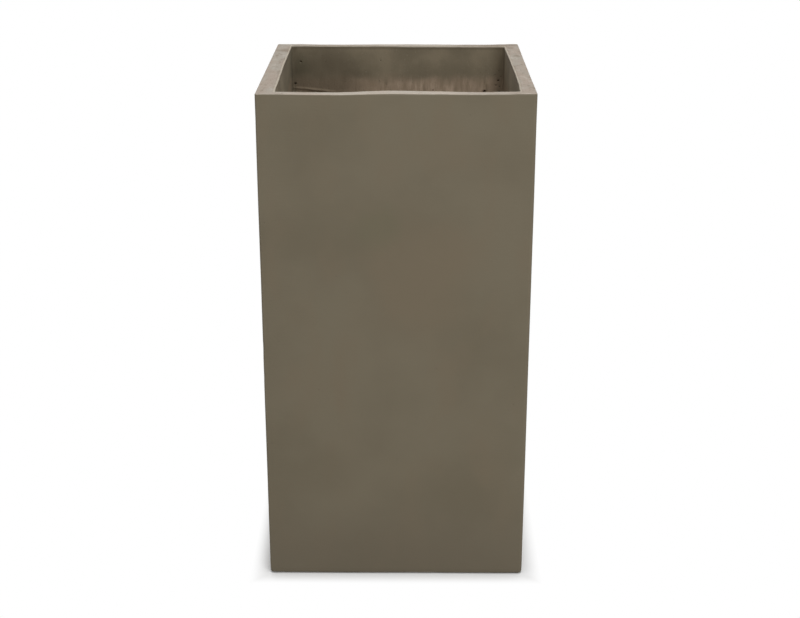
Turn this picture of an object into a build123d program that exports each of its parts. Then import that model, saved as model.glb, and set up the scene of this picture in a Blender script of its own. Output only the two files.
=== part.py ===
from build123d import *
import os

# Tall square planter in fibre-reinforced concrete, laid up by hand in a mould.
# Millimetres, +Z up, origin on the ground under the middle, front towards -Y.

os.makedirs("parts", exist_ok=True)

# Outside
width = 360.0
height = 695.0
vertical_edge_radius = 3.0
base_edge_radius = 2.0

# Layers of the wall and the floor, from the outside in
face_coat_thickness = 3.0
mesh_thickness = 0.8
wall_thickness = 13.0
slab_thickness = 16.0
mesh_rim_cover = 8.0
corner_strip_leg = 45.0

# Cavity under the rim band
cavity_corner_radius = 12.0
cove_radius = 10.0

# Rim, finished by hand, so its opening isn't quite true
rim_width = 21.0
rim_band_depth = 72.0
shoulder_height = 24.0
skim_thickness = 1.5
rim_edge_radius = 1.2
opening_corner_radius = 4.0
opening_corner_strays = {
    "front_left": (3.2, -3.8),
    "front_right": (0.4, -5.0),
    "back_right": (-0.4, 3.7),
    "back_left": (0.8, 7.6),
}
opening_side_bows = {"front": 2.8, "right": -1.7, "back": -0.6, "left": -0.6}

# Drain in the middle of the floor
bore_top_diameter = 30.0
bore_bottom_diameter = 26.0
sleeve_wall = 3.0
sleeve_flange_reach = 9.0
sleeve_flange_thickness = 2.5
anchor_ring_reach = 4.0
anchor_ring_thickness = 2.0
anchor_ring_depth = 8.0
floor_fall = 2.0
fall_margin = 6.0

# Rubber plug, pulled up and out through the rim
plug_clearance = 0.15
plug_end_recess = 2.0
plug_flange_reach = 5.0
plug_flange_thickness = 2.5
plug_edge_radius = 0.8
grip_neck_diameter = 9.0
grip_neck_height = 5.0
grip_knob_diameter = 17.0
grip_knob_height = 8.0
grip_knob_radius = 3.0

# Rubber feet, glued into shallow recesses
foot_diameter = 40.0
foot_thickness = 3.5
foot_proud = 1.5
foot_inset = 42.0
foot_clearance = 0.25
foot_edge_radius = 0.8

# Levels, from the ground up
base_z = foot_proud
floor_mesh_z = base_z + face_coat_thickness
slab_z = floor_mesh_z + mesh_thickness
slab_top_z = slab_z + slab_thickness
drain_z = slab_top_z - floor_fall
skim_z = height - skim_thickness
mesh_top_z = skim_z - mesh_rim_cover
band_z = height - rim_band_depth
shoulder_z = band_z - shoulder_height

# Half widths, from the outside in
outer_half = width / 2
coat_half = outer_half - face_coat_thickness
mesh_half = coat_half - mesh_thickness
cavity_half = outer_half - wall_thickness
opening_half = outer_half - rim_width

# Radii about the drain's axis
bore_top_radius = bore_top_diameter / 2
bore_bottom_radius = bore_bottom_diameter / 2
sleeve_radius = bore_top_radius + sleeve_wall
sleeve_flange_radius = sleeve_radius + sleeve_flange_reach
anchor_ring_radius = sleeve_radius + anchor_ring_reach
fall_outer_radius = cavity_half - cove_radius - fall_margin

quarter_turns = {"front": 0, "right": 90, "back": 180, "left": 270}
corner_turns = {"front_left": 0, "front_right": 90, "back_right": 180, "back_left": 270}
corner_signs = {"front_left": (-1, -1), "front_right": (1, -1), "back_right": (1, 1), "back_left": (-1, 1)}


def outer_face(level):
    """Rounded square of the outside at a level."""
    with BuildSketch(Plane.XY.offset(level)) as face:
        RectangleRounded(width, width, vertical_edge_radius)
    return face.sketch


def square_face(level, half):
    """Plain square at a level."""
    with BuildSketch(Plane.XY.offset(level)) as face:
        Rectangle(2 * half, 2 * half)
    return face.sketch


def cavity_face(level):
    """Coved square of the cavity at a level."""
    with BuildSketch(Plane.XY.offset(level)) as face:
        RectangleRounded(2 * cavity_half, 2 * cavity_half, cavity_corner_radius)
    return face.sketch


def opening_corner(name):
    """Corner of the opening, with what it strays from true."""
    sign_x, sign_y = corner_signs[name]
    stray_x, stray_y = opening_corner_strays[name]
    return Vector(sign_x * opening_half + stray_x, sign_y * opening_half + stray_y)


def opening_face(level):
    """Opening between the rims at a level: four bowed sides and coved corners."""
    corners = [opening_corner(name) for name in corner_signs]
    with BuildSketch(Plane.XY.offset(level)) as face:
        with BuildLine():
            for start, end, bow in zip(corners, corners[1:] + corners[:1], opening_side_bows.values()):
                inward = (end - start).normalized().rotate(Axis.Z, 90)
                ThreePointArc(start, (start + end) / 2 + inward * bow, end)
        make_face()
        fillet(face.vertices(), radius=opening_corner_radius)
    return face.sketch


# Face coat: the coloured outer skin, brushed into the mould first
with BuildPart() as face_coat:
    extrude(outer_face(base_z), amount=skim_z - base_z)
    fillet(face_coat.edges().group_by(Axis.Z)[0], radius=base_edge_radius)
    extrude(square_face(floor_mesh_z, coat_half), amount=skim_z - floor_mesh_z, mode=Mode.SUBTRACT)
    with BuildSketch(Plane.XY.offset(base_z)):
        Circle(sleeve_radius)
    extrude(amount=face_coat_thickness, mode=Mode.SUBTRACT)
    with BuildSketch(Plane.XY.offset(base_z)):
        for sign_x, sign_y in corner_signs.values():
            with Locations((sign_x * (outer_half - foot_inset), sign_y * (outer_half - foot_inset))):
                Circle(foot_diameter / 2 + foot_clearance)
    extrude(amount=foot_thickness - foot_proud, mode=Mode.SUBTRACT)
face_coat.part.label = "face_coat"
export_step(face_coat.part, "parts/face_coat.step")

# Glass mesh on the four walls: each sheet butts against the next one round
for side, turn in quarter_turns.items():
    with BuildPart() as wall_mesh:
        with BuildSketch(Plane.XY.offset(floor_mesh_z).rotated((0, 0, turn))):
            with Locations((-coat_half, -coat_half)):
                Rectangle(coat_half + mesh_half, mesh_thickness, align=(Align.MIN, Align.MIN))
        extrude(amount=mesh_top_z - floor_mesh_z)
    wall_mesh.part.label = f"wall_mesh_{side}"
    export_step(wall_mesh.part, f"parts/wall_mesh_{side}.step")

# Glass mesh over the floor, inside the wall sheets
with BuildPart() as floor_mesh:
    extrude(square_face(floor_mesh_z, mesh_half), amount=mesh_thickness)
    with BuildSketch(Plane.XY.offset(floor_mesh_z)):
        Circle(sleeve_radius)
    extrude(amount=mesh_thickness, mode=Mode.SUBTRACT)
floor_mesh.part.label = "floor_mesh"
export_step(floor_mesh.part, "parts/floor_mesh.step")

# Corner strips: folded mesh that laps the joints of the wall sheets
corner_strips = []
for corner, turn in corner_turns.items():
    with BuildPart() as corner_strip:
        with BuildSketch(Plane.XY.offset(slab_z).rotated((0, 0, turn))):
            with Locations((-mesh_half, -mesh_half)):
                Rectangle(corner_strip_leg, mesh_thickness, align=(Align.MIN, Align.MIN))
                Rectangle(mesh_thickness, corner_strip_leg, align=(Align.MIN, Align.MIN))
        extrude(amount=mesh_top_z - slab_z)
    corner_strip.part.label = f"corner_strip_{corner}"
    export_step(corner_strip.part, f"parts/corner_strip_{corner}.step")
    corner_strips.append(corner_strip.part)

# Outline that the floor is cast round: the sleeve before its bore is cut
with BuildPart() as sleeve_core:
    with BuildSketch(Plane.XY.offset(base_z)):
        Circle(sleeve_radius)
    extrude(amount=drain_z - base_z)
    with BuildSketch(Plane.XY.offset(drain_z - sleeve_flange_thickness)):
        Circle(sleeve_flange_radius)
    extrude(amount=sleeve_flange_thickness)
    with BuildSketch(Plane.XY.offset(drain_z - anchor_ring_depth - anchor_ring_thickness)):
        Circle(anchor_ring_radius)
    extrude(amount=anchor_ring_thickness)

# Drain sleeve: plastic, cast in, flush with the floor's low point and the base
with BuildPart() as drain_sleeve:
    add(sleeve_core.part)
    with BuildSketch(Plane.XY.offset(base_z)):
        Circle(bore_bottom_radius)
    with BuildSketch(Plane.XY.offset(drain_z)):
        Circle(bore_top_radius)
    loft(mode=Mode.SUBTRACT)
drain_sleeve.part.label = "drain_sleeve"
export_step(drain_sleeve.part, "parts/drain_sleeve.step")

# Floor slab: falls from all round to the drain
with BuildPart() as floor_slab:
    extrude(square_face(slab_z, mesh_half), amount=slab_thickness)
    with BuildSketch(Plane.XY.offset(drain_z)):
        Circle(sleeve_flange_radius)
    with BuildSketch(Plane.XY.offset(slab_top_z)):
        Circle(fall_outer_radius)
    loft(mode=Mode.SUBTRACT)
    add(sleeve_core.part, mode=Mode.SUBTRACT)
    add(corner_strips, mode=Mode.SUBTRACT)
floor_slab.part.label = "floor_slab"
export_step(floor_slab.part, "parts/floor_slab.step")

# Wall backing: stands on the slab and thickens into the rim band
with BuildPart() as wall_backing:
    extrude(square_face(slab_top_z, mesh_half), amount=skim_z - slab_top_z)
    extrude(square_face(mesh_top_z, coat_half), amount=skim_z - mesh_top_z)
    extrude(cavity_face(slab_top_z), amount=shoulder_z - slab_top_z, mode=Mode.SUBTRACT)
    loft([cavity_face(shoulder_z), opening_face(band_z)], mode=Mode.SUBTRACT)
    extrude(opening_face(band_z), amount=skim_z - band_z, mode=Mode.SUBTRACT)
    add(corner_strips, mode=Mode.SUBTRACT)
wall_backing.part.label = "wall_backing"
export_step(wall_backing.part, "parts/wall_backing.step")

# Floor cove: mortar fillet round the foot of the walls
with BuildPart() as cove_void:
    extrude(cavity_face(slab_top_z), amount=2 * cove_radius)
    fillet(cove_void.edges().group_by(Axis.Z)[0], radius=cove_radius)
with BuildPart() as floor_cove:
    extrude(cavity_face(slab_top_z), amount=cove_radius)
    add(cove_void.part, mode=Mode.SUBTRACT)
floor_cove.part.label = "floor_cove"
export_step(floor_cove.part, "parts/floor_cove.step")

# Rim skim: a thin trowelled cap over every layer of the wall
with BuildPart() as rim_skim:
    extrude(outer_face(skim_z), amount=skim_thickness)
    extrude(opening_face(skim_z), amount=skim_thickness, mode=Mode.SUBTRACT)
    fillet(rim_skim.edges().group_by(Axis.Z)[-1], radius=min(rim_edge_radius, 0.8 * skim_thickness))
rim_skim.part.label = "rim_skim"
export_step(rim_skim.part, "parts/rim_skim.step")

# Drain plug: a tapered bung with a flange and a knob to pull it by
bore_slope = (bore_top_radius - bore_bottom_radius) / (drain_z - base_z)
plug_end_z = base_z + plug_end_recess
plug_end_radius = bore_bottom_radius + bore_slope * plug_end_recess - plug_clearance
with BuildPart() as drain_plug:
    with BuildSketch(Plane.XY.offset(plug_end_z)):
        Circle(plug_end_radius)
    with BuildSketch(Plane.XY.offset(drain_z)):
        Circle(bore_top_radius - plug_clearance)
    loft()
    fillet(drain_plug.edges().group_by(Axis.Z)[0], radius=plug_edge_radius)
    with BuildSketch(Plane.XY.offset(drain_z)):
        Circle(bore_top_radius + plug_flange_reach)
    extrude(amount=plug_flange_thickness)
    fillet(drain_plug.edges().group_by(Axis.Z)[-1], radius=min(plug_edge_radius, plug_flange_thickness / 3))
    with BuildSketch(Plane.XY.offset(drain_z + plug_flange_thickness)):
        Circle(grip_neck_diameter / 2)
    extrude(amount=grip_neck_height)
    with BuildSketch(Plane.XY.offset(drain_z + plug_flange_thickness + grip_neck_height)):
        Circle(grip_knob_diameter / 2)
    extrude(amount=grip_knob_height)
    fillet(drain_plug.edges().group_by(Axis.Z)[-1], radius=min(grip_knob_radius, grip_knob_height / 2.5))
drain_plug.part.label = "drain_plug"
export_step(drain_plug.part, "parts/drain_plug.step")

# Feet: one under each corner, standing out below the base
for corner, (sign_x, sign_y) in corner_signs.items():
    with BuildPart() as foot:
        with BuildSketch():
            with Locations((sign_x * (outer_half - foot_inset), sign_y * (outer_half - foot_inset))):
                Circle(foot_diameter / 2)
        extrude(amount=foot_thickness)
        fillet(foot.edges().group_by(Axis.Z)[0], radius=foot_edge_radius)
    foot.part.label = f"foot_{corner}"
    export_step(foot.part, f"parts/foot_{corner}.step")
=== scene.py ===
# %% [markdown]
# # A tall square planter in fibre concrete
#
# The real planter is laid up by hand inside a smooth mould. A coloured cement skin is brushed in first, then
# glass mesh, then a thick layer of fibre cement, and last the rim is trowelled level and rubbed down. So its
# outside is smooth and true, and its rim and its inside show the hand: wavy edges, pits, streaks and stains.
#
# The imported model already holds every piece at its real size. This lesson loads it, models the surfaces that
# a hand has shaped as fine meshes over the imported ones, gives each piece its finish, and lights it softly.
# Everything is in metres, so small sizes are written in millimetres times MM.

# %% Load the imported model
import math
import random

import bmesh
import bpy
from mathutils import Matrix, Vector, kdtree, noise


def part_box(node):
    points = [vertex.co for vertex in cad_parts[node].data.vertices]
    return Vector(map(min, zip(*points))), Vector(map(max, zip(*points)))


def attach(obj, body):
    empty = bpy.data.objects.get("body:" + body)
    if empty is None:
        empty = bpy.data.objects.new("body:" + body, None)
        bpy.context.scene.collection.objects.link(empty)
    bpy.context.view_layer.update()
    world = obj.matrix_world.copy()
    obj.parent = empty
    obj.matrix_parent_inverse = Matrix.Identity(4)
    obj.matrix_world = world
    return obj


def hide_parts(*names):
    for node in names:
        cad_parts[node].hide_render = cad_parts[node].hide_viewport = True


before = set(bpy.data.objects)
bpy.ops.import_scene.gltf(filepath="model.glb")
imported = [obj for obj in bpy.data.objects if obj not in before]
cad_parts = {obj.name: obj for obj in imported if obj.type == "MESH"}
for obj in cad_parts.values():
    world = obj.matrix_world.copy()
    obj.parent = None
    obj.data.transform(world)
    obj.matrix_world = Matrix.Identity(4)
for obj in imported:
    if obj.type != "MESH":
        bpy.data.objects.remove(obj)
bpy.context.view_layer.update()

# %% [markdown]
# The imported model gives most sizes: each node's box says how wide it is and at which level it starts and
# ends. Only radii and depths that no box shows are written here, in millimetres, as they are on the planter.

# %% Sizes
MM = 0.001

outer_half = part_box("face_coat")[1].x
coat_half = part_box("wall_backing")[1].x
mesh_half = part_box("floor_slab")[1].x
cavity_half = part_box("floor_cove")[1].x
mesh_thickness = coat_half - mesh_half

base_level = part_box("face_coat")[0].z
coat_floor_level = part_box("floor_mesh")[0].z
slab_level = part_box("floor_slab")[0].z
slab_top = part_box("floor_slab")[1].z
drain_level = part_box("drain_sleeve")[1].z
mesh_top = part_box("wall_mesh_front")[1].z
cap_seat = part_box("rim_skim")[0].z
rim_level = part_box("rim_skim")[1].z

flange_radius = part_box("drain_sleeve")[1].x
cove_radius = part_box("floor_cove")[1].z - slab_top
strip_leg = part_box("corner_strip_front_left")[1].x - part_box("corner_strip_front_left")[0].x

rim_width = 21.0 * MM
band_depth = 72.0 * MM
shoulder_height = 24.0 * MM
opening_corner_radius = 4.0 * MM
cavity_corner_radius = 12.0 * MM
vertical_edge_radius = 3.0 * MM
base_edge_radius = 2.0 * MM
worn_corner_radius = 5.5 * MM
sleeve_radius = 18.0 * MM
anchor_ring_radius = 22.0 * MM
anchor_ring_low = 10.0 * MM
anchor_ring_high = 8.0 * MM
sleeve_flange_thickness = 2.5 * MM
fall_margin = 6.0 * MM

opening_half = outer_half - rim_width
opening_corner = opening_half - opening_corner_radius
cavity_corner = cavity_half - cavity_corner_radius
band_level = rim_level - band_depth
shoulder_level = band_level - shoulder_height
print("opening", round(2 * opening_half / MM), "mm, cavity", round(2 * cavity_half / MM), "mm")

# %% [markdown]
# ## Tools for shapes
#
# Every wall goes once round a square with rounded corners. A bevelled cube's faces would be too coarse to
# bend, so a line of points, the wall's profile, is drawn along each side and spun round each corner. `spin`
# does both: with a step and no angle it draws straight. Round parts are spun once about the upright axis.

# %% Draw a profile round the square
def draw_round(bm, profile, corner, side_steps, corner_steps, closed=False):
    """Draws a line of (half width, level) points round the square whose corners turn at (corner, corner)."""
    line = [bm.verts.new((-corner, -half, level)) for half, level in profile]
    pairs = list(zip(line, line[1:]))
    if closed:
        pairs.append((line[-1], line[0]))
    last = line + [bm.edges.new(pair) for pair in pairs]
    for quarter in range(4):
        turn = Matrix.Rotation(quarter * math.pi / 2, 3, "Z")
        step = turn @ Vector((2 * corner / side_steps, 0, 0))
        last = bmesh.ops.spin(bm, geom=last, axis=(0, 0, 1), dvec=step, steps=side_steps)["geom_last"]
        middle = turn @ Vector((corner, -corner, 0))
        last = bmesh.ops.spin(
            bm, geom=last, axis=(0, 0, 1), cent=middle, angle=math.pi / 2, steps=corner_steps
        )["geom_last"]
    bmesh.ops.remove_doubles(bm, verts=bm.verts, dist=0.005 * MM)


def spun(profile, steps, closed=False):
    """A round mesh from (radius, level) points, which start and end on the axis or close on themselves."""
    bm = bmesh.new()
    line = [bm.verts.new((radius, 0, level)) for radius, level in profile]
    ends = line[1:] + line[:1] if closed else line[1:]
    edges = [bm.edges.new(pair) for pair in zip(line, ends)]
    bmesh.ops.spin(bm, geom=line + edges, axis=(0, 0, 1), angle=2 * math.pi, steps=steps, use_merge=True)
    bmesh.ops.remove_doubles(bm, verts=bm.verts, dist=0.005 * MM)
    return bm


def quarter_turn(segments):
    """(1 - cosine, 1 - sine) at even steps of a quarter turn, to round a profile with."""
    angles = [step / segments * math.pi / 2 for step in range(segments + 1)]
    return [(1 - math.cos(angle), 1 - math.sin(angle)) for angle in angles]


def turn_sharper(point, corner, radius, share):
    """Moves a point of a round corner that turns at (corner, corner) towards a corner of a smaller radius."""
    over_x, over_y = max(abs(point.x) - corner, 0), max(abs(point.y) - corner, 0)
    reach = math.hypot(over_x, over_y)
    if over_x == 0 or over_y == 0:
        return point
    gain = (reach - radius) * share
    shift_x = math.copysign(gain * (1 - over_x / reach), point.x)
    shift_y = math.copysign(gain * (1 - over_y / reach), point.y)
    return point + Vector((shift_x, shift_y, 0))


def open_edges_at(bm, level):
    """The open edges that lie at a level."""
    return [
        edge for edge in bm.edges
        if edge.is_boundary and all(abs(vert.co.z - level) < 0.01 * MM for vert in edge.verts)
    ]


def bridge_level(bm, level):
    """Closes the ring between the two open loops at a level and returns the edges that cross it."""
    return bmesh.ops.bridge_loops(bm, edges=open_edges_at(bm, level))["edges"]


# %% [markdown]
# A mesh becomes a piece of the planter in one place: its doubles are merged, its faces are turned outwards,
# the imported node that it stands for is hidden, and the body that carries it takes it.

# %% Turn a mesh into a piece
def add_object(name, data):
    """Adds an object to the scene."""
    added = bpy.data.objects.new(name, data)
    bpy.context.scene.collection.objects.link(added)
    return added


def make_piece(name, bm, node, body="planter", crease=35):
    """Makes an object of a finished mesh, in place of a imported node."""
    bmesh.ops.remove_doubles(bm, verts=bm.verts, dist=0.002 * MM)
    bmesh.ops.recalc_face_normals(bm, faces=bm.faces)
    open_count = sum(not edge.is_manifold for edge in bm.edges)
    mesh = bpy.data.meshes.new(name)
    bm.to_mesh(mesh)
    bm.free()
    mesh.shade_smooth()
    mesh.set_sharp_from_angle(angle=math.radians(crease))
    piece = add_object(name, mesh)
    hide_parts(node)
    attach(piece, body)
    mesh.calc_loop_triangles()
    print(name, len(mesh.loop_triangles), "triangles,", open_count, "open edges")
    return piece


# %% [markdown]
# ## What the hand did to the rim
#
# The rim was struck off with a trowel, so its width and its height wander. A few widths, read where they
# change, are enough: a smooth step joins each to the next. The same wander bends the top of the inner wall,
# so both read it from here and stay together.

# %% The wander of the rim
def smooth(low, high, value):
    """Rises from 0 at low to 1 at high, level at both ends."""
    share = min(max((value - low) / (high - low), 0.0), 1.0)
    return share * share * (3.0 - 2.0 * share)


def uneven(place, features):
    """Smooth noise at a place, about -1 to 1, with so many features a metre."""
    return noise.noise(Vector(place) * features)


def curve_through(points):
    """A smooth curve through (place, size) points, in millimetres, as a function in metres."""
    def at(place):
        place = place / MM
        size = points[0][1]
        for (start, low), (end, high) in zip(points, points[1:]):
            if place > start:
                size = low + (high - low) * smooth(start, end, place)
        return size * MM
    return at


front_width = curve_through([
    (-158, 16.4), (-125, 16.9), (-85, 17.2), (-10, 19.4), (50, 18.6), (95, 16.4), (125, 16.8), (158, 15.2),
])
back_width = curve_through([(-150, 13.0), (-20, 12.8), (30, 16.6), (70, 16.2), (120, 17.8), (155, 17.2)])
left_width = curve_through([(-158, 24.5), (-125, 23.7), (-85, 23.6), (-50, 22.8), (20, 21.8), (140, 21.7)])
right_width = curve_through([(-150, 20.8), (-100, 19.3), (-50, 19.1), (40, 19.8), (150, 21.3)])
front_rise = curve_through([
    (-180, -0.2), (-140, -0.25), (-82, -1.0), (-8, 0.9), (50, 0.4), (105, -0.05), (135, 0.35), (165, 1.1),
])
back_rise = curve_through([
    (-180, 0.3), (-149, 0.35), (-110, -0.15), (-60, -0.1), (-20, 0.35), (50, 0.35), (85, 0.1), (125, 0.1),
    (155, 0.4), (175, 1.0),
])


def opening_stray(x, y):
    """How far the opening's edge is from true at a place, as (x, y)."""
    across = min(max((x / opening_half + 1) / 2, 0), 1)
    along = min(max((y / opening_half + 1) / 2, 0), 1)
    stray_x = (left_width(y) - rim_width) * (1 - across) - (right_width(y) - rim_width) * across
    stray_y = (front_width(x) - rim_width) * (1 - along) - (back_width(x) - rim_width) * along
    return Vector((stray_x, stray_y, 0))


def rim_rise(x, y):
    """How far the rim stands above or below its level at a place."""
    near_front = smooth(-60 * MM, -150 * MM, y)
    near_back = smooth(60 * MM, 150 * MM, y)
    wander = 0.28 * MM * uneven((x, y, 0), 28)
    ripple = 0.10 * MM * uneven((x, y, 0.3), 110)
    return front_rise(x) * near_front + back_rise(x) * near_back + wander + ripple


# %% [markdown]
# ## Pits
#
# Air caught against the mould or under the trowel leaves round pits. They are real holes, so they are pressed
# into the mesh: the faces near each pit are divided finely first, and then the points inside its circle are
# pushed in like a cup. A tree of the pits' places finds the nearest one quickly. The pits are also marked on
# the mesh, so that the inner wall's finish can paint shade into them.

# %% Press pits into a surface
def tree_of(places):
    """A search tree of places."""
    tree = kdtree.KDTree(len(places))
    for index, place in enumerate(places):
        tree.insert(place, index)
    tree.balance()
    return tree


def divide_near(bm, spots, grid, cuts=3):
    """Divides the faces near (place, radius) spots on a mesh whose faces are about grid wide."""
    tree = tree_of([place for place, radius in spots])
    near = set()
    for face in bm.faces:
        place, index, distance = tree.find(face.calc_center_median())
        if distance < spots[index][1] + grid:
            near.update(face.edges)
    bmesh.ops.subdivide_edges(bm, edges=list(near), cuts=cuts, use_grid_fill=True)


def press_pits(bm, pits):
    """Presses (centre, direction, radius, depth) pits into a fine mesh and marks them in its pit layer."""
    pit_layer = bm.verts.layers.float.new("pit")
    tree = tree_of([pit[0] for pit in pits])
    for vert in bm.verts:
        centre, index, distance = tree.find(vert.co)
        centre, direction, radius, depth = pits[index]
        if distance < radius:
            share = math.sqrt(1 - (distance / radius) ** 2)
            vert.co += direction * depth * share
            vert[pit_layer] = share


def scatter(count, seed, low, high):
    """Seeded (along, height, size) numbers: along from low to high, the others shares of 1."""
    draw = random.Random(seed)
    return [(draw.uniform(low, high), draw.random(), draw.random() ** 2) for _ in range(count)]


def add_mesh(bm, other):
    """Adds a second mesh to the first one and frees it."""
    carried = bpy.data.meshes.new("carried")
    other.to_mesh(carried)
    other.free()
    bm.from_mesh(carried)
    bpy.data.meshes.remove(carried)


# %% [markdown]
# ## The rim cap
#
# The cap is a thin skim of cement over the top of the wall. Its outer side is drawn upwards and its inner
# side downwards, so that their faces wind the same way and a ring of faces can bridge them. The ring is
# divided until it can follow the hand. Then the inner edge moves to its wandering width, and the top to its
# wandering height. Two layers on the mesh mark places for the finish: how near each point is to the inner
# edge, and where the coloured coat was brushed up over the outer side.

# %% Rim cap
CAP_STEPS = 150
CORNER_STEPS = 8
outer_arris = 0.9 * MM
inner_arris = 1.3 * MM
rim_pit_count = 90


def rounded_arris(half, level, radius, towards, segments=4):
    """Points up a side, over its rounded upper edge and onto the top, which lies towards -1 or 1."""
    turns = quarter_turn(segments)
    return [(half + towards * radius * across, level - radius * down) for across, down in turns]


def rim_pits():
    """Small pits over the whole rim, as (centre, direction, radius, depth)."""
    pits = []
    for along, height, size in scatter(rim_pit_count, 11, -1, 1):
        place, inset = along * (outer_half - 4 * MM), (3 + 15 * height) * MM
        spot = Matrix.Rotation(len(pits) % 4 * math.pi / 2, 3, "Z") @ Vector((place, inset - outer_half, 0))
        radius = (0.45 + 0.6 * size) * MM
        spot.z = rim_level + rim_rise(spot.x, spot.y)
        pits.append((spot, Vector((0, 0, -1)), radius, 0.8 * radius))
    return pits


def model_rim_cap():
    """The trowelled cap over the top of the wall."""
    bm = bmesh.new()
    outer_side = [(outer_half, cap_seat)] + rounded_arris(outer_half, rim_level, outer_arris, -1)
    inner_side = [(opening_half, cap_seat)] + rounded_arris(opening_half, rim_level, inner_arris, 1)
    draw_round(bm, outer_side, outer_half - vertical_edge_radius, CAP_STEPS, CORNER_STEPS)
    coat_layer = bm.verts.layers.float.new("brushed_up")
    for vert in bm.verts:
        vert[coat_layer] = smooth(rim_level, rim_level - 0.6 * MM, vert.co.z)
    draw_round(bm, inner_side[::-1], opening_corner, CAP_STEPS, CORNER_STEPS)
    bridge_level(bm, cap_seat)
    across = bridge_level(bm, rim_level)
    bmesh.ops.subdivide_edges(bm, edges=across, cuts=9, use_grid_fill=True)
    thickness = rim_level - cap_seat
    edge_layer = bm.verts.layers.float.new("inner_edge")
    for vert in bm.verts:
        x, y, z = vert.co
        hold = min(max((outer_half - max(abs(x), abs(y))) / rim_width, 0), 1)
        near_edge = smooth(0.6, 1, hold) * smooth(cap_seat, rim_level, z)
        ragged = 0.35 * MM * uneven((x, y, 0), 160) * near_edge
        vert.co += opening_stray(x, y) * hold + Vector((x, y, 0)).normalized() * ragged
        vert.co.z = cap_seat + (z - cap_seat) * (1 + rim_rise(x, y) / thickness)
        vert[edge_layer] = smooth(0.78, 1.0, hold)
    pits = rim_pits()
    divide_near(bm, [(spot, radius) for spot, direction, radius, depth in pits], 2.2 * MM)
    press_pits(bm, pits)
    return bm


rim_cap = make_piece("rim_cap", model_rim_cap(), "rim_skim")

# %% [markdown]
# ## The wall behind the skin
#
# This is the thick layer that is seen inside the planter. Its inner profile runs down a smoothed band, over
# a shoulder and down the raw wall to the floor. Its outer side is hidden by the skin, and gives way to the
# folded strips of mesh in the corners. Rows are close together in the band, where the eye looks in.
#
# Below a ragged line the wall was never smoothed: it has streaks where the fibre cement was drawn up, a few
# large pits, and one ridge that a trowel left on the back wall.

# %% Inner wall
WALL_STEPS = 100
smoothed_depth = 45.0 * MM
smoothed_proud = 0.2 * MM
ridge_points = [(-156.0, 63.5), (-144.0, 64.4), (-120.0, 66.8), (-98.0, 69.2), (-85.0, 70.5)]
ridge_height = 1.1 * MM
ridge_half_width = 1.6 * MM
seen_pits = {
    "back": [(131, 67.5, 2.6), (151, 51, 1.6), (-146, 24, 1.3), (-155, 57, 1.9), (53, 66, 1.3), (-26, 22, 0.9),
             (146, 42, 0.8), (153, 60, 1.0), (148, 58, 1.1), (155, 45, 0.9), (151, 36, 0.7), (153, 68, 1.2)],
    "right": [(150, 45, 1.2), (141, 57, 1.4), (128, 50, 0.9), (152, 62, 1.3), (118, 63, 1.0)],
    "left": [(-150, 52, 1.4), (-138, 40, 0.9), (-120, 60, 1.1), (90, 58, 1.0)],
    "front": [(-60, 48, 1.2), (35, 60, 1.5), (112, 55, 1.1)],
}


def even_steps(start, end, size):
    """Levels from start towards end, about size apart, without the end."""
    count = max(1, round(abs(end - start) / size))
    return [start + (end - start) * step / count for step in range(count)]


def wall_half(level):
    """Half width between the true inner faces at a level."""
    return cavity_half + (opening_half - cavity_half) * smooth(shoulder_level, band_level, level)


def hand_hold(level):
    """How far the wander of the rim reaches down the wall."""
    return smooth(shoulder_level, band_level, level)


def true_spot(wall, along, depth):
    """A point of the true inner face and the direction into the wall. Along runs with x or y, in millimetres."""
    level = rim_level - depth * MM
    half, place = wall_half(level), along * MM
    return {
        "front": (Vector((place, -half, level)), Vector((0, -1, 0))),
        "right": (Vector((half, place, level)), Vector((1, 0, 0))),
        "back": (Vector((place, half, level)), Vector((0, 1, 0))),
        "left": (Vector((-half, place, level)), Vector((-1, 0, 0))),
    }[wall]


def shape_inner_face(point):
    """Moves a point of the true inner face to where the hand left it."""
    x, y, z = point
    hold = hand_hold(z)
    under_cap = smooth(cap_seat, cap_seat - 6 * MM, z)
    into_wall = Vector((x, y, 0)).normalized()
    broad = 0.7 * MM * uneven((x, y, z), 14)
    ragged_line = rim_level - smoothed_depth + 5 * MM * uneven((x, y, 0), 22)
    raw = smooth(ragged_line + 7 * MM, ragged_line - 7 * MM, z)
    streaks = 0.28 * MM * uneven((150 * x, 150 * y, 16 * z), 1)
    lumps = 0.35 * MM * uneven((x, y, z), 75)
    moved = under_cap * (broad + raw * (smoothed_proud + streaks + lumps))
    return point + opening_stray(x, y) * hold + into_wall * moved


def ridge_at(point):
    """Height of the trowel's ridge on the back wall at a point."""
    if point.y < 0.9 * opening_half or point.x > ridge_points[-1][0] * MM:
        return 0
    depth = curve_through(ridge_points)(point.x)
    off = (rim_level - point.z - depth) / ridge_half_width
    ends = smooth(ridge_points[-1][0] * MM, (ridge_points[-1][0] - 18) * MM, point.x)
    broken = 0.7 + 0.5 * uneven(point, 90)
    return ridge_height * ends * broken * math.exp(-off * off)


def wall_pits():
    """The pits that show from the front, and scattered ones further down, as (wall, along, depth, radius)."""
    pits = [(wall, *spot) for wall, spots in seen_pits.items() for spot in spots]
    for seed, wall in enumerate(seen_pits):
        scattered = scatter(34, 40 + seed, -145, 145)
        pits += [(wall, along, 60 + 590 * height, 0.9 + 1.6 * size) for along, height, size in scattered]
    return pits


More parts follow.
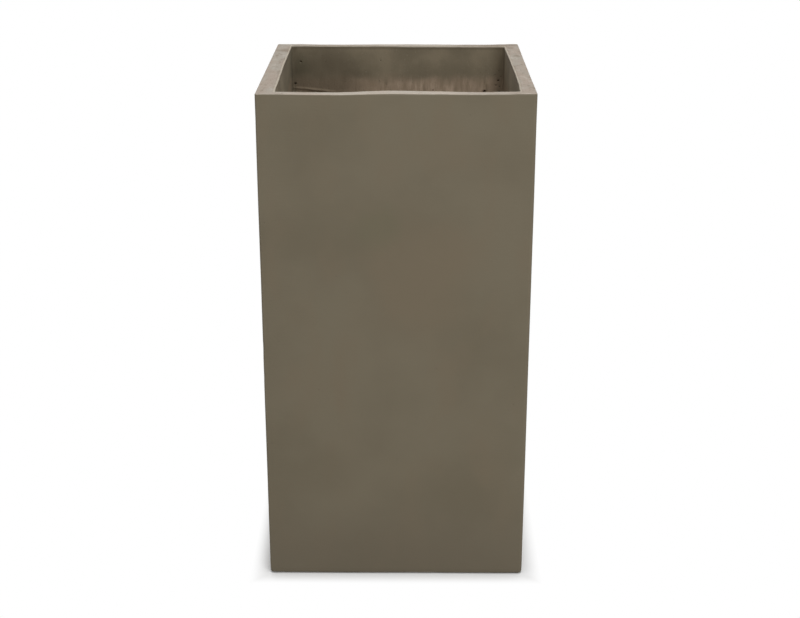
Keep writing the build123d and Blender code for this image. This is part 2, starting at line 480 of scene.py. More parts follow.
def model_inner_wall():
    """The wall backing, from its hand-laid inner face to its hidden outer side."""
    bm = bmesh.new()
    levels = even_steps(cap_seat, shoulder_level, 3 * MM) + even_steps(shoulder_level, slab_top, 9 * MM) + [slab_top]
    draw_round(bm, [(wall_half(level), level) for level in levels], cavity_corner, WALL_STEPS, CORNER_STEPS)
    for vert in bm.verts:
        vert.co = turn_sharper(vert.co, cavity_corner, opening_corner_radius, hand_hold(vert.co.z))
    pits = wall_pits()
    ridge_depth = curve_through(ridge_points)
    ridge = [true_spot("back", along, ridge_depth(along * MM) / MM)[0] for along in range(-158, -76, 4)]
    fine = [(true_spot(*pit[:3])[0], pit[3] * MM) for pit in pits] + [(spot, 2.5 * MM) for spot in ridge]
    divide_near(bm, fine, 3 * MM)
    for vert in bm.verts:
        rise = ridge_at(vert.co)
        vert.co = shape_inner_face(vert.co) - Vector((0, rise, 0))
    shaped = []
    for wall, along, depth, radius in pits:
        spot, direction = true_spot(wall, along, depth)
        shaped.append((shape_inner_face(spot), direction, radius * MM, 1.2 * radius * MM))
    press_pits(bm, shaped)

    outer_side = [(mesh_half, slab_top), (mesh_half, mesh_top), (coat_half, mesh_top), (coat_half, cap_seat)]
    hidden = bmesh.new()
    draw_round(hidden, outer_side, mesh_half - 0.5 * MM, WALL_STEPS, CORNER_STEPS)
    for vert in hidden.verts:
        x, y, z = vert.co
        if min(abs(x), abs(y)) > mesh_half - strip_leg and z < mesh_top + 0.01 * MM:
            reach = mesh_half - mesh_thickness
            vert.co.x, vert.co.y = min(max(x, -reach), reach), min(max(y, -reach), reach)
    add_mesh(bm, hidden)
    bridge_level(bm, cap_seat)
    bridge_level(bm, slab_top)
    return bm


inner_wall = make_piece("inner_wall", model_inner_wall(), "wall_backing", crease=50)

# %% [markdown]
# ## The floor
#
# The floor is laid before the walls and falls to the drain. Seen from above it is a dish in a square, so a
# profile is spun about the drain, from the sleeve out to the wall, and the outer rings are then pulled out
# from a circle to a square. The recess for the sleeve and its anchor ring comes with the profile.

# %% Floor slab
SPOKES = 160


def model_floor():
    """The cast floor, with its fall, its hand-worked top and the seat of the sleeve."""
    fall_radius = cavity_half - cove_radius - fall_margin
    flange_seat = drain_level - sleeve_flange_thickness
    profile = [
        (sleeve_radius, slab_level),
        (sleeve_radius, drain_level - anchor_ring_low),
        (anchor_ring_radius, drain_level - anchor_ring_low),
        (anchor_ring_radius, drain_level - anchor_ring_high),
        (sleeve_radius, drain_level - anchor_ring_high),
        (sleeve_radius, flange_seat),
        (flange_radius, flange_seat),
        (flange_radius, drain_level),
    ]
    for radius in even_steps(flange_radius, fall_radius, 4 * MM)[1:]:
        share = (radius - flange_radius) / (fall_radius - flange_radius)
        profile.append((radius, drain_level + (slab_top - drain_level) * share))
    profile += [(radius, slab_top) for radius in even_steps(fall_radius, mesh_half, 5 * MM)]
    profile += [(mesh_half, slab_top), (mesh_half, slab_level)]
    bm = spun(profile, SPOKES, closed=True)
    for vert in bm.verts:
        x, y, z = vert.co
        radius = math.hypot(x, y)
        to_square = radius / max(abs(x), abs(y))
        pull = 1 + (to_square - 1) * smooth(flange_radius, mesh_half, radius)
        on_top = smooth(drain_level - 0.1 * MM, drain_level, z) * smooth(flange_radius, flange_radius + 12 * MM, radius)
        worked = 0.5 * MM * uneven((x, y, 0), 30) + 0.25 * MM * uneven((x, y, 1), 95)
        held = smooth(cavity_half, cavity_half - 14 * MM, radius)
        vert.co = Vector((x * pull, y * pull, z + on_top * held * worked))
    return bm


floor_inside = make_piece("floor_inside", model_floor(), "floor_slab", crease=50)

# %% [markdown]
# A fillet of mortar, run round with a thumb, seals the floor to the walls. Its section is a corner with a
# quarter circle taken out, drawn once round the cavity, and the thumb's pressure makes it wander.

# %% Floor cove
def model_cove():
    """The mortar fillet between the floor and the walls."""
    bm = bmesh.new()
    profile = [(cavity_half, slab_top)]
    for across, down in quarter_turn(10):
        profile.append((cavity_half - cove_radius * across, slab_top + cove_radius * down))
    draw_round(bm, profile, cavity_corner, 90, CORNER_STEPS, closed=True)
    for vert in bm.verts:
        x, y, z = vert.co
        off_wall = smooth(0, cove_radius, cavity_half - max(abs(x), abs(y)))
        off_floor = smooth(0, cove_radius, z - slab_top)
        thumb = 0.8 * MM * uneven((x, y, z), 45) - 0.3 * MM
        vert.co += Vector((-x, -y, 0)).normalized() * thumb * 4 * off_wall * off_floor
    return bm


cove = make_piece("cove", model_cove(), "floor_cove", crease=60)

# %% [markdown]
# ## The coloured skin
#
# The outside came off a smooth mould, so it is flat to a fraction of a millimetre, with small nicks along
# its upright edges and a softer edge at the foot. The skin is a thin shell: an outer side, an inner pocket,
# an underside with holes for the drain and shallow seats for the feet. The underside is filled between its
# loops in one step, and each circle is then drawn up to its depth.

# %% Outer skin
SKIN_STEPS = 84
worn_corner = outer_half - worn_corner_radius
foot_names = ["foot_front_left", "foot_front_right", "foot_back_right", "foot_back_left"]
foot_clearance = 0.25 * MM


def circle_edges(bm, middle, radius, segments=64):
    """A flat circle's edges."""
    circle = bmesh.ops.create_circle(bm, radius=radius, segments=segments, matrix=Matrix.Translation(middle))
    return list({edge for vert in circle["verts"] for edge in vert.link_edges})


def draw_up(bm, edges, height):
    """Draws a circle's edges upwards and returns the upper ones."""
    drawn = bmesh.ops.extrude_edge_only(bm, edges=edges)["geom"]
    verts = [part for part in drawn if isinstance(part, bmesh.types.BMVert)]
    bmesh.ops.translate(bm, verts=verts, vec=(0, 0, height))
    upper = [part for part in drawn if isinstance(part, bmesh.types.BMEdge)]
    return [edge for edge in upper if all(vert in verts for vert in edge.verts)]


def shape_skin(point):
    """Moves a point of the true outside to where the mould and the years left it."""
    x, y, z = point
    moved = turn_sharper(point, worn_corner, vertical_edge_radius, smooth(base_level, base_level + 12 * MM, z)) - point
    on_corner = max(abs(x) - worn_corner, 0) * max(abs(y) - worn_corner, 0) / worn_corner_radius ** 2
    nick = max(uneven((x, y, z), 60) - 0.25, 0) * 0.9 * MM
    moved -= Vector((math.copysign(nick, x), math.copysign(nick, y), 0)) * on_corner * 2
    held = smooth(cap_seat, cap_seat - 25 * MM, z)
    swell = 0.30 * MM * uneven((x, y, z), 9) * held
    facing = Vector((x if abs(x) > 0.97 * outer_half else 0, y if abs(y) > 0.97 * outer_half else 0, 0))
    return point + moved + facing.normalized() * swell


def model_skin():
    """The coloured skin, from its outside to its inner pocket."""
    bm = bmesh.new()
    arc = []
    for up, out in quarter_turn(6):
        arc.append((outer_half - base_edge_radius * out, base_level + base_edge_radius * up))
    rows = even_steps(base_level + base_edge_radius, cap_seat, 6 * MM)[1:] + [cap_seat]
    draw_round(bm, arc + [(outer_half, level) for level in rows], worn_corner, SKIN_STEPS, CORNER_STEPS)
    for vert in bm.verts:
        vert.co = shape_skin(vert.co)

    pocket = bmesh.new()
    upright = [(coat_half, cap_seat), (coat_half, coat_floor_level)]
    draw_round(pocket, upright, coat_half - 0.5 * MM, SKIN_STEPS, CORNER_STEPS)
    add_mesh(bm, pocket)
    bridge_level(bm, cap_seat)

    drain = circle_edges(bm, (0, 0, base_level), sleeve_radius)
    feet = []
    for name in foot_names:
        low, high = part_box(name)
        middle = (low + high) / 2
        seat_radius = (high.x - low.x) / 2 + foot_clearance
        feet.append((circle_edges(bm, (middle.x, middle.y, base_level), seat_radius), high.z - base_level))
    outline = open_edges_at(bm, base_level)
    loops = outline + drain + [edge for edges, depth in feet for edge in edges]
    bmesh.ops.triangle_fill(bm, edges=list(set(loops)), use_beauty=True, normal=(0, 0, -1))
    drain_top = draw_up(bm, drain, coat_floor_level - base_level)
    for edges, depth in feet:
        bmesh.ops.edgeloop_fill(bm, edges=draw_up(bm, edges, depth))
    pocket_floor = open_edges_at(bm, coat_floor_level)
    bmesh.ops.triangle_fill(bm, edges=list(set(pocket_floor + drain_top)), use_beauty=True, normal=(0, 0, 1))
    return bm


outer_skin = make_piece("outer_skin", model_skin(), "face_coat")

# %% [markdown]
# ## Feet and plug
#
# Both are moulded rubber and round, so each is half a profile spun about its axis. The feet have rings that
# grip the floor. The plug's knob has shallow flutes, made by moving its points in and out as they go round,
# and the plug rides on its own body, because it pulls out.

# %% Round rubber parts
def model_foot(name):
    """A rubber foot with gripping rings underneath."""
    low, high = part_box(name)
    radius, top, edge = (high.x - low.x) / 2, high.z, 0.8 * MM
    profile = [(0, 0.9 * MM), (3.2 * MM, 0.9 * MM), (4.0 * MM, 0)]
    for ring in (7.0, 11.0, 15.0):
        groove = [(-0.9, 0), (-0.4, 0.7), (0.4, 0.7), (0.9, 0)]
        profile += [((ring + out) * MM, deep * MM) for out, deep in groove]
    profile += [(radius - edge * out, edge * up) for up, out in quarter_turn(4)]
    profile += [(radius, 0.5 * top), (radius, top), (0, top)]
    bm = spun(profile, 72)
    bmesh.ops.translate(bm, verts=bm.verts, vec=((low.x + high.x) / 2, (low.y + high.y) / 2, 0))
    return bm


feet = [make_piece("rubber_" + name, model_foot(name), name) for name in foot_names]


def model_plug():
    """The tapered bung with its flange, neck and fluted knob."""
    low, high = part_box("drain_plug")
    flange, shank_top, shank_end, neck, knob, knob_round = high.x / MM, 14.85, 13.08, 4.5, 8.5, 3.0
    over_low = [(0, 1.2), (9, 1.2), (10.5, 0), (shank_end - 0.8, 0), (shank_end, 0.8)]
    over_seat = [
        (shank_top, 0), (flange - 0.4, 0), (flange, 0.5), (flange, 1.6), (flange - 0.3, 2.2), (flange - 1.0, 2.5),
        (flange - 3.5, 2.5), (flange - 4.0, 2.1), (flange - 6.0, 2.1), (flange - 6.5, 2.5), (neck + 1.5, 2.5),
        (neck + 0.4, 3.0), (neck, 4.1), (neck, 6.3), (neck + 0.5, 7.1), (neck + 1.4, 7.5), (knob - 1.2, 7.5),
        (knob - 0.3, 7.9), (knob, 8.7),
    ]
    profile = [(radius * MM, low.z + level * MM) for radius, level in over_low]
    profile += [(radius * MM, drain_level + level * MM) for radius, level in over_seat]
    for across, down in quarter_turn(5):
        profile.append(((knob - knob_round * across) * MM, high.z - knob_round * down * MM))
    profile.append((0, high.z))
    bm = spun(profile, 96)
    for vert in bm.verts:
        x, y, z = vert.co
        radius = math.hypot(x, y)
        if radius > (knob - 1.3) * MM and z > drain_level + 7.7 * MM:
            held = smooth(high.z - 0.5 * MM, high.z - knob_round * MM, z)
            flute = 0.35 * MM * (0.5 - 0.5 * math.cos(12 * math.atan2(y, x))) * held
            vert.co -= Vector((x, y, 0)) / radius * flute
    return bm


rubber_plug = make_piece("rubber_plug", model_plug(), "drain_plug", body="plug")

# %% [markdown]
# ## Finishes
#
# Every finish is worked out from the place on the planter, in metres, so it has the real scale and needs no
# pictures. Small classes keep the node trees readable. A `Wire` is a node's output that can be used in sums,
# so `1 - mask` adds the Math node by itself. A `Tree` makes the other nodes: settings first, then the sockets.
# A `Finish` is the tree of one material, which lays one colour over another and closes with one shader.

# %% Wires and finishes
def operation(name):
    """A method that adds one Math node to the tree that its wire is in."""
    def method(*values):
        return values[0].owner.node("ShaderNodeMath", {"operation": name}, dict(enumerate(values)))
    return method


class Wire:
    """A node's output that can be used in sums."""

    def __init__(self, owner, socket):
        self.owner, self.socket = owner, socket

    __add__ = __radd__ = operation("ADD")
    __mul__ = __rmul__ = operation("MULTIPLY")
    __sub__ = operation("SUBTRACT")
    __abs__, cosine = operation("ABSOLUTE"), operation("COSINE")
    least, most = operation("MINIMUM"), operation("MAXIMUM")

    def __rsub__(self, other):
        return self.owner.node("ShaderNodeMath", {"operation": "SUBTRACT"}, {0: other, 1: self})


class Tree:
    """The nodes of a material or of the world."""

    def __init__(self, holder):
        holder.use_nodes = True
        self.tree = holder.node_tree
        self.tree.nodes.clear()

    def node(self, kind, settings=None, values=None, output=0):
        """Makes a node with its settings, then its sockets' values or links, and returns one output."""
        made = self.tree.nodes.new(kind)
        for name, setting in (settings or {}).items():
            setattr(made, name, setting)
        for key, value in (values or {}).items():
            if isinstance(value, Wire):
                self.tree.links.new(value.socket, made.inputs[key])
            else:
                made.inputs[key].default_value = value
        return Wire(self, made.outputs[output]) if made.outputs else None

    def seen(self):
        """1 to the camera, also in a mirror or through glass, and 0 for the light thrown on other things."""
        kinds = ("Is Camera Ray", "Is Glossy Ray", "Is Transmission Ray")
        camera, glossy, through = (self.node("ShaderNodeLightPath", output=kind) for kind in kinds)
        return camera.most(glossy).most(through)


class Finish(Tree):
    """One material and the nodes that most of its patterns need."""

    def __init__(self, name):
        self.material = bpy.data.materials.new(name)
        super().__init__(self.material)
        self.place = self.node("ShaderNodeTexCoord", output="Object")
        self.x, self.y, self.z = (self.node("ShaderNodeSeparateXYZ", {}, {0: self.place}, axis) for axis in "XYZ")

    def grain(self, scale, detail=2.0, stretch=(1, 1, 1), shift=0.0, roughness=0.5):
        """Noise from 0 to 1 with so many features a metre. Stretch is features along x, y and z."""
        moved = self.node("ShaderNodeMapping", {}, {0: self.place, 1: (shift, 2 * shift, 3 * shift), 3: stretch})
        return self.node("ShaderNodeTexNoise", {}, {
            "Vector": moved, "Scale": scale, "Detail": detail, "Roughness": roughness,
        })

    def round_grain(self, along, across, detail=3.0, shift=0.0, roughness=0.6):
        """Noise drawn out along each side of the square, with so many features a metre along and across."""
        front = self.grain(1, detail, (along, across, across), shift, roughness)
        side = self.grain(1, detail, (across, along, across), shift, roughness)
        return front + (side - front) * self.rise(abs(self.x) - abs(self.y), -0.004, 0.004)

    def rise(self, value, low, high):
        """0 below low, 1 above high, smooth between. High may be the lower one."""
        return self.node("ShaderNodeMapRange", {"interpolation_type": "SMOOTHSTEP"}, {
            0: value, 1: low, 2: high, 3: 0.0, 4: 1.0,
        })

    def patch(self, centre, reach, wander=0.35, scale=18.0, shift=0.0):
        """A soft patch round a place: 1 in its middle, 0 outside its reach, with a wandering edge."""
        off = self.node("ShaderNodeVectorMath", {"operation": "SUBTRACT"}, {0: self.place, 1: centre})
        shares = self.node("ShaderNodeVectorMath", {"operation": "DIVIDE"}, {0: off, 1: reach})
        distance = self.node("ShaderNodeVectorMath", {"operation": "LENGTH"}, {0: shares}, "Value")
        return self.rise(distance + (self.grain(scale, shift=shift) - 0.5) * (2 * wander), 1.0, 0.2)

    def pores(self, scale, radius, share, shift=0.0):
        """Small round pores, 1 inside. Only a share of the cells hold one."""
        moved = self.node("ShaderNodeMapping", {}, {0: self.place, 1: (shift, shift, shift)})
        cells = {"Vector": moved, "Scale": scale}
        distance = self.node("ShaderNodeTexVoronoi", {}, cells, "Distance")
        chance = self.node("ShaderNodeSeparateXYZ", {}, {0: self.node("ShaderNodeTexVoronoi", {}, cells, "Color")})
        edge = radius * scale
        return self.rise(distance, edge, 0.55 * edge) * self.rise(chance, share, share - 0.02)

    def mix(self, mask, first, second):
        """Colour that goes from the first to the second with a mask."""
        return self.node("ShaderNodeMix", {"data_type": "RGBA"}, {0: mask, 6: first, 7: second}, 2)

    def lay(self, mask, colour):
        """Lays a colour over what is there, where the mask is 1."""
        self.colour = self.mix(mask, self.colour, colour)

    def facing_up(self, low, high):
        """1 where the normal's upward share is past high, 0 where it isn't past low."""
        facing = self.node("ShaderNodeNewGeometry", output="Normal")
        return self.rise(self.node("ShaderNodeSeparateXYZ", {}, {0: facing}, "Z"), low, high)

    def shade(self, roughness, height, depth=0.001, specular=0.4):
        """Closes the tree with one Principled shader. Height 1 stands depth metres over height 0."""
        bump = self.node("ShaderNodeBump", {}, {"Height": height, "Distance": depth, "Strength": 1.0})
        surface = self.node("ShaderNodeBsdfPrincipled", {}, {
            "Base Color": self.colour, "Roughness": roughness, "Normal": bump, "Specular IOR Level": specular,
        })
        self.node("ShaderNodeOutputMaterial", {}, {0: surface})
        return self.material


def from_screen(red, green, blue):
    """A colour read off a screen, 0 to 255, as the light it stands for."""
    return tuple(((level / 255 + 0.055) / 1.055) ** 2.4 for level in (red, green, blue)) + (1.0,)


def wear(piece, material):
    """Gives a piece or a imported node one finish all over."""
    piece.data.materials.clear()
    piece.data.materials.append(material)


# %% [markdown]
# The outside was brushed on as one pigmented coat against a smooth mould, then sealed. It is an olive brown
# that drifts: broad clouds, a warmer patch on the front, a greener spot above it, darker clouds to the left,
# and a cooler, darker foot, partly dirt and partly painted shade. Close up there are fine grains, brush marks
# and a few pinholes.

# %% Coloured cement
COAT_PALE = from_screen(117, 108, 89)
COAT_DEEP = from_screen(108, 99, 80)
COAT_WARM = from_screen(117, 105, 85)
COAT_GREEN = from_screen(107, 101, 80)
COAT_FOOT = from_screen(104, 95, 79)
COAT_SHADOW = from_screen(52, 46, 38)
COAT_RUBBED = from_screen(140, 129, 111)


def coloured_cement():
    """The sealed, pigmented outer coat."""
    finish = Finish("coloured_cement")
    front = finish.rise(finish.y, -0.165, -0.175)
    clouds = finish.grain(7, 3, shift=1.0)
    drift = finish.grain(15, 3, stretch=(1.4, 1.4, 0.7), shift=4.0)
    finish.colour = finish.mix(finish.rise(clouds, 0.30, 0.70), COAT_DEEP, COAT_PALE)
    finish.lay(0.55 * finish.rise(drift, 0.45, 0.75), COAT_WARM)
    for x, z, reach_x, reach_z, shift, share, tint in (
        (0.033, 0.450, 0.105, 0.130, 2.0, 0.75, COAT_WARM),
        (-0.022, 0.520, 0.045, 0.040, 3.0, 0.60, COAT_GREEN),
        (-0.118, 0.503, 0.060, 0.045, 5.0, 0.50, COAT_DEEP),
        (-0.105, 0.165, 0.065, 0.060, 6.0, 0.50, COAT_DEEP),
    ):
        cloud = finish.patch((x, -0.18, z), (reach_x, 0.3, reach_z), shift=shift)
        finish.lay(front * cloud * share, tint)
    # The foot is painted darker and cooler: partly dirt, partly painted shade.
    foot = finish.rise(finish.z, 0.150, 0.020)
    finish.lay(foot * 0.55, COAT_FOOT)
    grain = finish.grain(420, 4, shift=7.0, roughness=0.65)
    brushed = finish.grain(60, 3, stretch=(1, 1, 7), shift=8.0)
    pinholes = finish.pores(75, 0.0006, 0.16, shift=9.0)
    finish.lay(finish.rise(grain, 0.62, 0.80) * 0.10, COAT_PALE)
    finish.lay(finish.rise(grain, 0.38, 0.20) * 0.16, COAT_DEEP)
    finish.lay(pinholes * 0.6, COAT_SHADOW)
    upright = abs(finish.x).least(abs(finish.y))
    rubbed = finish.rise(upright, outer_half - 5 * MM, outer_half - 1 * MM) * finish.rise(grain + clouds, 0.75, 1.15)
    finish.lay(rubbed * 0.18, COAT_RUBBED)
    roughness = 0.64 + 0.14 * clouds + 0.08 * grain + 0.1 * pinholes
    height = 0.07 * grain + 0.12 * brushed + 0.10 * clouds - 0.45 * pinholes
    return finish.shade(roughness, height)


wear(outer_skin, coloured_cement())

# %% [markdown]
# The cap is paler, because it is the bare cement rubbed down: pinkish grey with brown blotches, sandy specks
# and pores, with brown smears along the back. The trowel left its inner edge polished, and a painted highlight
# runs along it, with a thin line of painted shade beside it; a painted sheen lightens the middle of the front
# and back. Outside, the coloured coat was brushed up over the cap's edge, and keeps its colour.

# %% Rim cement
RIM_GREY = from_screen(142, 135, 124)
RIM_PINK = from_screen(143, 131, 119)
RIM_BROWN = from_screen(112, 99, 84)
RIM_PALE = from_screen(163, 155, 145)
RIM_EDGE_HIGHLIGHT = from_screen(164, 155, 139)
RIM_SHEEN = from_screen(186, 177, 164)
RIM_PORE = from_screen(70, 60, 50)


def rim_cement():
    """The trowelled and rubbed cap."""
    finish = Finish("rim_cement")
    blotches = finish.round_grain(38, 95, 4, shift=1.0)
    tint = finish.round_grain(16, 45, 2, shift=2.0)
    specks = finish.grain(520, 3, shift=3.0, roughness=0.7)
    scratches = finish.round_grain(70, 480, 3, shift=4.0)
    finish.colour = finish.mix(finish.rise(tint, 0.35, 0.65), RIM_GREY, RIM_PINK)
    finish.lay(finish.rise(blotches, 0.52, 0.72) * 0.75, RIM_BROWN)
    finish.lay(finish.rise(blotches, 0.46, 0.30) * 0.60, RIM_PALE)
    finish.lay(finish.rise(scratches, 0.55, 0.75) * 0.35, RIM_BROWN)
    smear = finish.patch((-0.163, 0.130, rim_level), (0.024, 0.018, 0.05), 0.5, 90, shift=6.0)
    smear = smear.most(finish.patch((-0.085, 0.172, rim_level), (0.100, 0.009, 0.05), 0.5, 60, shift=7.0))
    smear = smear.most(finish.patch((0.156, 0.172, rim_level), (0.045, 0.014, 0.05), 0.3, 60, shift=8.0))
    finish.lay(smear * 0.70, RIM_BROWN)
    finish.lay(finish.rise(specks, 0.60, 0.74) * 0.35, RIM_PALE)
    finish.lay(finish.rise(specks, 0.40, 0.26) * 0.45, RIM_BROWN)
    pores = finish.pores(110, 0.0007, 0.30, shift=5.0)
    finish.lay(pores * 0.7, RIM_PORE)
    # A painted sheen lightens the front and back of the cap, most in their middle.
    front_and_back = finish.rise(abs(finish.y) - abs(finish.x), -0.004, 0.012)
    painted_sheen = front_and_back * (0.10 + 0.24 * finish.rise(abs(finish.x), 0.150, 0.050))
    finish.lay(painted_sheen * (0.6 + 0.8 * tint), RIM_SHEEN)
    # A painted highlight runs along the inner edge, and beside it a thin line of painted shade, as a groove would cast.
    edge = finish.node("ShaderNodeAttribute", {"attribute_name": "inner_edge"}, {}, "Fac")
    groove = finish.rise(edge, 0.05, 0.30) * finish.rise(edge, 0.60, 0.35)
    finish.lay(groove * 0.35 * finish.rise(tint + blotches, 0.8, 1.1), RIM_BROWN)
    finish.lay(finish.rise(edge, 0.55, 0.85) * 0.75, RIM_EDGE_HIGHLIGHT)
    brown_stretch = finish.patch((0.118, 0.166, rim_level), (0.060, 0.024, 0.05), 0.2, 60, shift=10.0)
    finish.lay(brown_stretch * 0.42, RIM_BROWN)
    over = finish.node("ShaderNodeAttribute", {"attribute_name": "brushed_up"}, {}, "Fac") + 0.5 * (blotches - 0.5)
    brushed_up = finish.rise(over, 0.15, 0.55)
    finish.lay(brushed_up * 0.9, COAT_PALE)
    roughness = 0.78 + 0.14 * specks
    height = 0.16 * specks + 0.30 * blotches + 0.15 * scratches - 0.6 * pores
    return finish.shade(roughness, height, specular=0.3)


wear(rim_cap, rim_cement())

# %% [markdown]
# Inside, the top of the wall was smoothed while wet and has the coat's olive cast. Below a ragged line it is
# raw: pinkish, drawn into upright streaks, speckled and stained. Painted shade darkens the back wall's left
# side, the corners, the upper right side, a band just under the cap and the pits. Further down it is plain raw
# cement, and the floor has a tide mark round the drain.

# %% Raw fibre cement
INNER_OLIVE = from_screen(139, 128, 107)
INNER_OLIVE_DEEP = from_screen(123, 113, 94)
RAW_PINK = from_screen(184, 163, 142)
RAW_BROWN = from_screen(145, 128, 107)
RAW_PALE = from_screen(186, 172, 152)
RAW_DARK = from_screen(87, 78, 63)
RAW_PORE = from_screen(34, 29, 24)
RAW_MOULD = from_screen(72, 72, 54)
RAW_SIDE_SHADE = from_screen(86, 73, 54)


def raw_fibre_cement():
    """The hand-laid layer that is seen inside."""
    finish = Finish("raw_fibre_cement")
    depth = rim_level - finish.z
    ragged = depth + 0.030 * (finish.grain(24, 3, shift=1.0) - 0.5)
    raw = finish.rise(ragged, smoothed_depth - 8 * MM, smoothed_depth + 12 * MM)
    clouds = finish.grain(18, 3, shift=2.0)
    streaks = finish.grain(1, 4, stretch=(170, 170, 34), shift=3.0, roughness=0.65)
    drawn = finish.grain(1, 2, stretch=(45, 45, 12), shift=8.0)
    specks = finish.grain(330, 3, shift=4.0, roughness=0.7)
    wiped = finish.mix(finish.rise(clouds, 0.35, 0.65), INNER_OLIVE_DEEP, INNER_OLIVE)
    pinkish = finish.patch((0.056, 0.165, 0.613), (0.140, 0.08, 0.058), 0.25, 30, shift=9.0)
    pinkish = pinkish.most(finish.rise(finish.z, 0.56, 0.50) * 0.7)
    drawn_up = finish.rise(streaks + 0.6 * drawn, 0.62, 1.02) * (0.15 + 0.85 * pinkish)
    bare = finish.mix(drawn_up, RAW_BROWN, RAW_PINK)
    bare = finish.mix(finish.rise(clouds, 0.50, 0.70) * 0.5, bare, RAW_BROWN)
    finish.colour = finish.mix(raw, wiped, bare)
    finish.lay(finish.rise(streaks, 0.58, 0.78) * (0.06 + 0.16 * raw), RAW_PALE)
    finish.lay(finish.rise(streaks, 0.42, 0.24) * (0.12 + 0.20 * raw), RAW_DARK)
    finish.lay(finish.rise(specks, 0.60, 0.76) * 0.30, RAW_PALE)
    finish.lay(finish.rise(specks, 0.40, 0.26) * 0.40, RAW_DARK)
    # Painted shade darkens the back wall's left side, near the top.
    painted_shade_back_left = finish.patch((-0.110, 0.165, 0.648), (0.100, 0.05, 0.055), 0.25, 22, shift=5.0)
    finish.lay(painted_shade_back_left * 0.60, RAW_DARK)
    mould = finish.patch((-0.148, 0.160, 0.665), (0.022, 0.03, 0.026), 0.3, 50, shift=10.0)
    left_back = finish.rise(finish.x, -0.150, -0.156) * finish.rise(finish.y, 0.00, 0.12)
    left_back = left_back * finish.rise(finish.z, 0.48, 0.60)
    finish.lay((mould * 0.35).most(left_back * (0.10 + 0.4 * streaks)), RAW_MOULD)
    # Painted shade darkens the inner corners.
    corner = abs(finish.x).least(abs(finish.y)) + 0.02 * (clouds - 0.5)
    finish.lay(finish.rise(corner, 0.132, 0.158) * 0.28, RAW_DARK)
    # Streaked painted shade darkens the upper right side inside.
    right_wall_shade = finish.rise(finish.x + 0.01 * (clouds - 0.5), 0.132, 0.155) * finish.rise(finish.z, 0.40, 0.58)
    finish.lay(right_wall_shade * (0.24 + 0.30 * streaks), RAW_SIDE_SHADE)
    # Painted shade darkens a band just under the cap.
    under_cap = finish.rise(depth + 0.003 * (streaks - 0.5), 0.0065, 0.0025)
    finish.lay(under_cap * 0.40, RAW_DARK)
    pores = finish.pores(60, 0.0010, 0.34, shift=6.0)
    finish.lay(pores * 0.75, RAW_PORE)
    # Painted shade darkens the pits pressed into the mesh.
    pit = finish.node("ShaderNodeAttribute", {"attribute_name": "pit"}, {}, "Fac")
    finish.lay(finish.rise(pit, 0.25, 0.90) * 0.70, RAW_PORE)
    settled = finish.rise(finish.z, 0.120, 0.024)
    from_drain = finish.node("ShaderNodeVectorMath", {"operation": "LENGTH"}, {0: finish.place}, "Value")
    tide = finish.rise(from_drain + 0.03 * (clouds - 0.5), 0.085, 0.075) * finish.rise(finish.z, 0.030, 0.024)
    finish.lay(settled * 0.3, RAW_PALE)
    finish.lay(tide * 0.45, RAW_DARK)
    roughness = 0.84 + 0.1 * specks
    height = (0.25 + 0.55 * raw) * (0.4 * streaks + 0.3 * specks + 0.3 * clouds) - 0.7 * pores
    return finish.shade(roughness, height, specular=0.25)


raw_cement = raw_fibre_cement()
wear(inner_wall, raw_cement)
wear(floor_inside, raw_cement)

# %% [markdown]
# The cove is a wetter, sandier mortar, a little darker, smeared along its length by the thumb.

# %% Cove mortar
def cove_mortar():
    """The thumbed mortar fillet."""
    finish = Finish("cove_mortar")
    sand = finish.grain(380, 4, shift=1.0, roughness=0.7)
    smears = finish.grain(1, 3, stretch=(28, 28, 160), shift=2.0)
    finish.colour = finish.mix(finish.rise(smears, 0.35, 0.68), from_screen(112, 102, 87), from_screen(136, 127, 112))
    finish.lay(finish.rise(sand, 0.58, 0.74) * 0.5, RAW_PALE)
    finish.lay(finish.rise(sand, 0.42, 0.28) * 0.4, RAW_DARK)
    pores = finish.pores(120, 0.0007, 0.3, shift=3.0)
    finish.lay(pores * 0.7, RAW_PORE)
    return finish.shade(0.86 + 0.08 * sand, 0.4 * sand + 0.5 * smears - 0.5 * pores, specular=0.25)


wear(cove, cove_mortar())

# %% [markdown]
# The glass mesh lies buried, but shows wherever someone cuts the planter or takes it apart. Its strands
# cross every 5 mm and pass over and under. Cosines of the place make the strands: along the wall and up it
# on the walls, and along both sides on the floor.

# %% Glass mesh
def glass_mesh():
    """Open glass weave with cement in its holes."""
    finish = Finish("glass_mesh")
    pitch = 5.0 * MM
    lying = finish.facing_up(0.4, 0.6).most(finish.facing_up(-0.4, -0.6))
    along = finish.x + finish.y * (1 - lying)
    across = finish.z * (1 - lying) + finish.y * lying
    turn = 2 * math.pi / pitch
    warp, weft = (along * turn).cosine(), (across * turn).cosine()
    over = (along * (turn / 2)).cosine() * (across * (turn / 2)).cosine()
    fibres = finish.grain(900, 2, shift=1.0)
    warp_strand, weft_strand = finish.rise(warp, 0.1, 0.6), finish.rise(weft, 0.1, 0.6)
    strand = warp_strand.most(weft_strand)
    cement = finish.mix(finish.grain(120, 3, shift=2.0), RAW_BROWN, RAW_PALE)
    glass = finish.mix(finish.rise(fibres, 0.35, 0.7), from_screen(196, 196, 188), from_screen(226, 226, 220))
    finish.colour = finish.mix(strand * 0.9, cement, glass)
    height = warp_strand * (0.6 + 0.3 * over) + weft_strand * (0.6 - 0.3 * over) + 0.1 * fibres
    return finish.shade(0.72 - 0.25 * strand, height, depth=0.0004)


woven = glass_mesh()
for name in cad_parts:
    if name.startswith(("wall_mesh", "floor_mesh", "corner_strip")):
        wear(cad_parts[name], woven)

# %% [markdown]
# Three small parts are moulded: the drain's sleeve in satin plastic with dust on its flange, and the plug
# and feet in matt rubber with a cloudy bloom.

